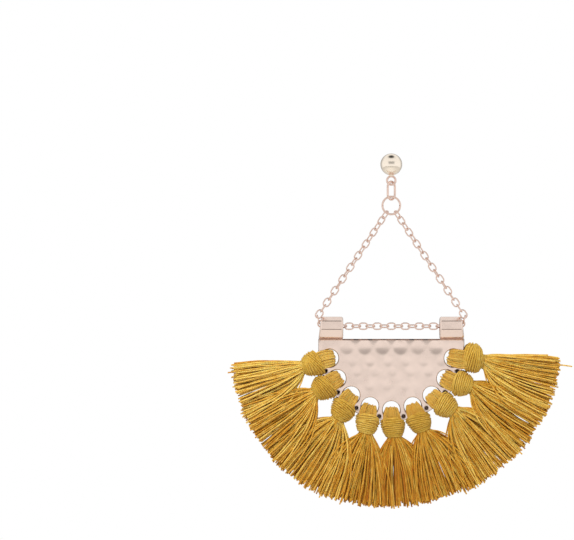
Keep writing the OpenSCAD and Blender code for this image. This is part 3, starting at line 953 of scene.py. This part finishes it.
class Tassel:
    """One tassel in its own frame: the hole's centre is the origin and -Z points outwards."""

    def __init__(self, n):
        self.n = n
        self.hole_a = (n - MID_HOLE) * HOLE_STEP
        for name, value in zip(TRAITS, TASSELS[n - 1]):
            setattr(self, name, value)
        end = self.fan_point(self.neck_end, self.neck_a, 0.0)
        self.neck_l = end.length
        self.lean = math.atan2(end.x, -end.z)
        turn = Matrix.Rotation(-math.radians(self.hole_a), 4, "Y")
        out = Matrix.Translation((0, 0, -HOLE_RING_R))
        self.world = Matrix.Translation((0, MID_Y, ARC_Z)) @ turn @ out
        self.rng = random.Random(700 + n)

    def fan_point(self, r, angle, y):
        """The point at a radius and an angle from the plate's centre."""
        a = math.radians(angle - self.hole_a)
        return Vector((r * math.sin(a), y, HOLE_RING_R - r * math.cos(a)))

    def fan_place(self, point):
        """The radius and the angle from the plate's centre at which a point lies."""
        up = HOLE_RING_R - point.z
        return math.hypot(point.x, up), self.hole_a + math.degrees(math.atan2(point.x, up))

    def neck_point(self, t, across, y):
        """The point at distance t along the neck from the hole's centre, across it and behind it."""
        c = math.cos(self.lean)
        s = math.sin(self.lean)
        return Vector((t * s + across * c, y, -t * c + across * s))

    def past_edge(self, across, gap):
        """How far along the neck a point across it lies outside the plate's edge by a gap."""
        c = HOLE_RING_R * math.cos(self.lean)
        inside = across**2 - 2 * HOLE_RING_R * across * math.sin(self.lean) + HOLE_RING_R**2
        return math.sqrt(c * c - (inside - (PLATE_R + gap) ** 2)) - c


def between(low, high, share):
    return low + (high - low) * share


def ease(low, high, value):
    """A smooth step from 0 at low to 1 at high."""
    x = max(0.0, min(1.0, (value - low) / (high - low)))
    return x * x * (3 - 2 * x)


def fold_point(tassel, section, u, w, stray):
    """Where a thread of the fold lies: u runs across it and w from the rim outwards."""
    angle, pairs, follow = section
    step = min(2, int(w * 3))
    share = w * 3 - step
    a = math.radians(angle)
    inward = max(0.0, -math.cos(a))
    half, away = [between(low, high, share) for low, high in zip(pairs[step], pairs[step + 1])]
    half = half * between(1, tassel.fold_w, inward) - THREAD_D / 2
    away += THREAD_D / 2 * (1 - 2 * w)
    away += (tassel.reach + stray) * w * inward
    z = -RIM_MID - away * math.cos(a)
    if inward > 0.99:
        # Inside the hole the threads have to pass its wall
        half = min(half, math.sqrt(max(0.3, (HOLE_D / 2) ** 2 - z * z)) - THREAD_D / 2 - 0.05)
    x = u * max(0.1, half) - follow * z * math.tan(tassel.lean)
    return Vector((x, -away * math.sin(a), z))


def neck_round(u, w, r, flat, side):
    """Across and behind for a thread in the neck: side is -1 in front and 1 behind."""
    r -= THREAD_D / 2
    return u * r * 0.97, side * flat * r * (0.06 + 0.94 * w) * math.sqrt(1 - (0.93 * u) ** 2)


def skirt_tip(tassel, w, side, tip_u):
    """Where a thread's free end stops: radius, angle, depth and how soon it turns there."""
    rng = tassel.rng
    low = FAN_EDGES[tassel.n - 1]
    high = FAN_EDGES[tassel.n]
    hold = rng.uniform(*HOLD)
    outer = (tassel.n == 1 and tip_u < 0) or (tassel.n == HOLES and tip_u > 0)
    tip_u = (1.0 if outer else SPREAD) * tip_u + rng.gauss(0, 0.12)
    proud = 0.0
    if rng.random() < (OUTER_SPRUNG_SHARE if w > 0.7 else SPRUNG_SHARE):
        tip_u += rng.gauss(0, SPRUNG_SPREAD)
        hold = rng.uniform(*SPRUNG_HOLD)
        proud = 0.2 * w
    least = -1.0 if tassel.n == 1 else -OVERLAP
    most = 1.0 if tassel.n == HOLES else OVERLAP
    if not least < tip_u < most:
        tip_u = max(least, min(most, tip_u)) * rng.uniform(0.8, 1.0)
    angle = (low + high) / 2 + tip_u * (high - low) / 2
    angle += 0.2 * noise.noise(Vector((angle * 0.7, side * 2.0, tassel.n * 3.0)))
    lock = LOCK_L * noise.noise(Vector((angle * 0.9, side * 3.0, tassel.n * 5.0)))
    jag = lock + rng.gauss(0, CUT_L) - (rng.uniform(*SHORT_L) if rng.random() < SHORT_SHARE else 0.0)
    radius = tassel.tip_r + jag - 0.6 * max(0.0, abs(tip_u) - 1)
    deep = tassel.lay + side * (0.15 + proud + SKIRT_HALF_T * max(0.03, w + rng.gauss(0, 0.1)))
    return radius, angle, deep, hold


def skirt_points(tassel, u, w, side, tip):
    """A thread's free end, from the neck's end to its tip."""
    across, y = neck_round(u, w, NECK_R, 1.0, side)
    start_r, start_a = tassel.fan_place(tassel.neck_point(tassel.neck_l, across, y))
    tip_r, tip_a, deep, hold = tip
    seed = Vector((tassel.n * 7.3 + u * 3.1, u * 31.7 + w * 17.1, side * 5.9))
    end = math.exp(-(tip_r - start_r) / hold)
    points = []
    for r in [r for r in SKIRT_RADII if start_r + 0.6 < r < tip_r - 3.2] + [tip_r - 2.4, tip_r]:
        held = (math.exp(-(r - start_r) / hold) - end) / (1 - end)
        share = (r - start_r) / (tip_r - start_r)
        behind = between(y, deep, ease(0, 0.4, share))
        sway = noise.noise_vector(seed + Vector((0, 0, r / SWAY_L))) * SWAY * ease(0, 0.3, share)
        points.append(tassel.fan_point(r, between(tip_a, start_a, held), behind) + sway)
    return points


def fold_thread(tassel, u, w, drift, tips):
    """A whole thread: from its front tip up the neck, round the rim and down to its back tip."""
    halves = {}
    for side, tip in zip((-1, 1), tips):
        twist_u = max(-1.0, min(1.0, u + side * drift + tassel.rng.gauss(0, 0.03)))
        neck = []
        for t, r, flat in (*NECK, (tassel.neck_l - NECK_LAST[0], *NECK_LAST[1:])):
            across, y = neck_round(twist_u, w, r, flat, side)
            neck.append(tassel.neck_point(t, across, y))
        across, y = neck_round(twist_u, w, NECK_R, 1.0, side)
        neck.append(tassel.neck_point(tassel.neck_l, across, y))
        halves[side] = neck + skirt_points(tassel, twist_u, w, side, tip)
    stray = tassel.rng.gauss(0, 0.14)
    fold = [fold_point(tassel, section, u, w, stray) for section in FRONT_FOLD + BACK_FOLD]
    return list(reversed(halves[-1])) + fold + halves[1]


def thread_paths(name, splines, world):
    """Splines in millimetres in a tassel's own frame as one curve in the object's frame."""
    curve = bpy.data.curves.new(name + "_paths", "CURVE")
    curve.dimensions = "3D"
    for points in splines:
        spline = curve.splines.new("POLY")
        spline.points.add(len(points) - 1)
        for spot, p in zip(spline.points, points):
            spot.co = (*(world @ p * MM), 1.0)
    return curve


def lay_threads(tassel, kind, splines, sizes):
    """Sweeps a tassel's threads along their splines as one piece."""
    name = f"tassel_{tassel.n}_{kind}"
    return grow(name, thread_paths(name, splines, tassel.world), THREADS, sizes)


def tassel_threads(tassel):
    """The fold, neck and skirt of one tassel as single threads."""
    rng = tassel.rng
    splines = []
    ends = 2 * FOLDS_DEEP
    order = sorted(range(ends), key=lambda k: (k * 5) % ends + 0.3 * rng.random())
    strays = {side: [s[1:] for s in STRAYS.get(tassel.n, ()) if s[0] == side] for side in (-1, 1)}
    for deep in range(FOLDS_DEEP):
        # Each layer leaves the neck a little beside the others, so the rows close up
        drift = ((deep * 3) % FOLDS_DEEP - FOLDS_DEEP // 2) / FOLDS_DEEP * 2 / FOLDS_WIDE
        for wide in range(FOLDS_WIDE):
            shift = 0.25 if deep % 2 else -0.25
            u = (wide + 0.5 + shift) / FOLDS_WIDE * 2 - 1 + rng.gauss(0, 0.02)
            w = max(0.0, min(1.0, (deep + 0.5) / FOLDS_DEEP + rng.gauss(0, 0.03)))
            tips = []
            for k, side in enumerate((-1, 1)):
                tip_u = (wide + (order[2 * deep + k] + 0.5) / ends) / FOLDS_WIDE * 2 - 1
                tips.append(skirt_tip(tassel, w, side, tip_u))
                outer = wide == (0 if tassel.n == 1 else FOLDS_WIDE - 1)
                if strays[side] and outer and deep >= 2:
                    radius, angle, hold = strays[side].pop()
                    tips[-1] = (radius, angle, tips[-1][2], hold)
            splines.append(fold_thread(tassel, max(-0.98, min(0.98, u)), w, drift, tips))
    piece = lay_threads(
        tassel,
        "threads",
        splines,
        {
            "Thread radius": THREAD_D / 2 * MM,
            "Sides": 6,
            "Points per bend": 2,
            "Seed": tassel.n,
            "Fold light share": 0.6,
            "Painted light": tassel.paler - DEPTH_SHADE / 2,
            "Painted light outwards": DEPTH_SHADE / len(splines),
            "Material": TASSEL_COTTON,
        },
    )
    settle(piece, "cotton", f"tassel_{tassel.n}")


def tassel_binding(tassel):
    """The thread wound round a neck: down it side by side, then back up in a few loose turns."""
    rng = random.Random(900 + tassel.n)
    seed = rng.uniform(0, 50)
    bottom = tassel.neck_l - BIND_D / 2
    full = tassel.bulge_r - 0.3 - BIND_D / 2
    points = []
    for i in range((DOWN_TURNS + UP_TURNS) * TURN_STEPS + 1):
        turn = i / TURN_STEPS
        a = 2 * math.pi * turn
        if turn < DOWN_TURNS:
            share = turn / DOWN_TURNS
            lift = 0.0
            slope = 0.3 * tassel.slant + 0.05 * noise.noise(Vector((seed, turn * 0.3, 0)))
        else:
            share = 1 - (turn - DOWN_TURNS) / UP_TURNS
            lift = RIDE * min(1.0, (turn - DOWN_TURNS) / 2) * (1 - share**3)
            slope = tassel.slant + 0.3 * noise.noise(Vector((seed, turn * 0.45, 5)))
        front_top = tassel.top + 0.15 * noise.noise(Vector((seed, turn * 0.7, 9)))
        t = between(front_top, bottom, share)
        # The turn settles where the neck is as wide as the turn is, so the second pass is exact enough
        for settle_pass in range(2):
            down = max(0.0, min(1.0, (t - tassel.top) / (bottom - tassel.top)))
            wide = between(BIND_END_R + BIND_D / 2, full, math.cos(math.pi / 2 * down**tassel.taper)) + lift
            wide *= 1 - tassel.ball * max(0.0, 1 - down / 0.45) ** 2
            across = wide * math.cos(a)
            y = -wide * between(FLAT, 1.0, ease(0, 0.6, down)) * math.sin(a)
            # In front and behind, the top turns ride up over the rim; at the sides they stay outside it
            side_top = tassel.past_edge(across, 0.12 + BIND_D / 2)
            top = between(side_top, front_top, ease(0.95, 1.9, abs(y)))
            t = between(top, bottom, share)
            t = between(t, between(side_top, bottom, 0.45), tassel.draw * math.cos(a) ** 2)
            t += slope * across * math.sin(math.pi * min(1.0, share + 0.25))
            t = max(top, min(bottom + 0.25, t))
        points.append(tassel.neck_point(t, across + tassel.shift * math.cos(math.pi / 2 * down**2), y))
    piece = lay_threads(
        tassel,
        "binding",
        [points],
        {
            "Thread radius": BIND_D / 2 * MM,
            "Sides": 7,
            "Points per bend": 1,
            "Seed": 70 + tassel.n,
            "Fold light share": 0.0,
            "Painted light": tassel.wound,
            "Painted light outwards": 0.0,
            "Material": BINDING_COTTON,
        },
    )
    settle(piece, "cotton", f"binding_{tassel.n}")


# The studio

# The photograph's scale, its size and where the middle of the ball lies in it
PX_PER_MM = 3.65
FRAME_PX = (574, 540)
BALL_PX = (391.3, 164.4)
CAMERA_AWAY = 1000.0
FLOOR_Z = -200.0
FLOOR_R = 600.0
# The key lamp, in metres and watts
KEY_PLACE = (-0.07, -0.2, 0.13)
KEY_AIM = (0, MID_Y * MM, -0.05)
KEY_SIZE = 0.12
KEY_WATTS = 0.57
# The room that the metal mirrors, from its floor to its ceiling: white all round and dim overhead
ROOM = (
    (0.0, "#fafafa"), (0.49, "#ffffff"), (0.9, "#f8f8f8"),
    (0.952, "#e8e8e8"), (0.98, "#6a6a6a"), (1.0, "#3c3c3c"),
)
# It is dimmer where the camera stands, in front
CAMERA_SIDE = (
    (0.0, "#ffffff"), (0.46, "#ffffff"), (0.5, "#fafafa"), (0.55, "#cacaca"),
    (0.7, "#acacac"), (0.74, "#cccccc"), (0.775, "#ffffff"), (1.0, "#ffffff"),
)
# And it is dimmer behind the object, which draws the outlines of the wires
FAR_SIDE = ((0.0, "#bebebe"), (0.72, "#bebebe"), (0.86, "#ffffff"), (1.0, "#ffffff"))


def camera():
    """A long lens at the photograph's level, beside the object as the frame has it."""
    data = bpy.data.cameras.new("product_camera")
    data.sensor_width = 36
    data.lens = data.sensor_width * CAMERA_AWAY / (FRAME_PX[0] / PX_PER_MM)
    data.clip_start = 0.05
    data.clip_end = 20
    made = add_object("product_camera", data)
    made.location = (
        (FRAME_PX[0] / 2 - BALL_PX[0]) / PX_PER_MM * MM,
        (MID_Y - CAMERA_AWAY) * MM,
        (BALL_PX[1] - FRAME_PX[1] / 2) / PX_PER_MM * MM,
    )
    made.rotation_euler = (math.radians(90), 0, 0)
    bpy.context.scene.camera = made


def key_lamp():
    """A soft square lamp. The metal doesn't mirror it, and shows the white room alone."""
    data = bpy.data.lights.new("key", "AREA")
    data.size = KEY_SIZE
    data.energy = KEY_WATTS
    made = add_object("key", data)
    made.location = KEY_PLACE
    made.rotation_euler = (Vector(KEY_AIM) - Vector(KEY_PLACE)).to_track_quat("-Z", "Y").to_euler()
    made.visible_glossy = False


def studio():
    """A white sweep all round, a soft key from the upper left and a pale floor far below."""
    world = bpy.data.worlds.new("white_studio")
    world.use_nodes = True
    world.node_tree.nodes.clear()
    add = partial(add_node, world.node_tree)
    way = add("ShaderNodeTexCoord").outputs["Generated"]
    parts = add("ShaderNodeSeparateXYZ", {0: way}).outputs
    height = add("ShaderNodeMath", {0: parts["Z"], 1: 0.5, 2: 0.5}, operation="MULTIPLY_ADD")
    aside = add("ShaderNodeMath", {0: parts["X"]}, operation="ABSOLUTE")
    near = add("ShaderNodeMapRange", {"Value": aside, "From Min": 0.62, "From Max": 0.4})
    forward = add("ShaderNodeMath", {0: parts["Y"], 1: 0.0}, operation="LESS_THAN")
    in_front = add("ShaderNodeMath", {0: near, 1: forward}, operation="MULTIPLY")
    behind = add("ShaderNodeMapRange", {"Value": parts["Y"], "From Min": 0.3, "From Max": 0.7})
    room = add("ShaderNodeValToRGB", {"Fac": height})
    set_ramp(room, ROOM)
    for share, stops in ((in_front, CAMERA_SIDE), (behind, FAR_SIDE)):
        shades = add("ShaderNodeValToRGB", {"Fac": height})
        set_ramp(shades, stops)
        room = add(
            "ShaderNodeMix", {0: share, 6: room, 7: shades}, data_type="RGBA", blend_type="MULTIPLY"
        ).outputs[2]
    lit = add("ShaderNodeBackground", {"Color": room})
    # The camera itself sees plain white
    seen = add("ShaderNodeBackground", {"Color": linear("#ffffff")})
    ray = add("ShaderNodeLightPath").outputs["Is Camera Ray"]
    mixed = add("ShaderNodeMixShader", {"Fac": ray, 1: lit, 2: seen})
    add("ShaderNodeOutputWorld", {"Surface": mixed})
    bpy.context.scene.world = world
    bpy.context.scene.view_settings.view_transform = "Standard"
    key_lamp()

    bpy.ops.mesh.primitive_circle_add(
        vertices=96, radius=FLOOR_R * MM, fill_type="NGON", location=(0, 0, FLOOR_Z * MM)
    )
    floor = bpy.context.object
    floor.name = "pale_floor"
    # Matt wall paint: a warm white without gloss
    paint, add_paint = new_material("matt_white_paint")
    finish_material(add_paint, {"Base Color": linear("#eeece8"), "Roughness": 0.9})
    floor.data.materials.append(paint)


camera()
studio()
ear_stud()
oval_link()
jump_ring()
sling_chain()
half_moon_plate()
for number in range(1, HOLES + 1):
    one = Tassel(number)
    tassel_threads(one)
    tassel_binding(one)
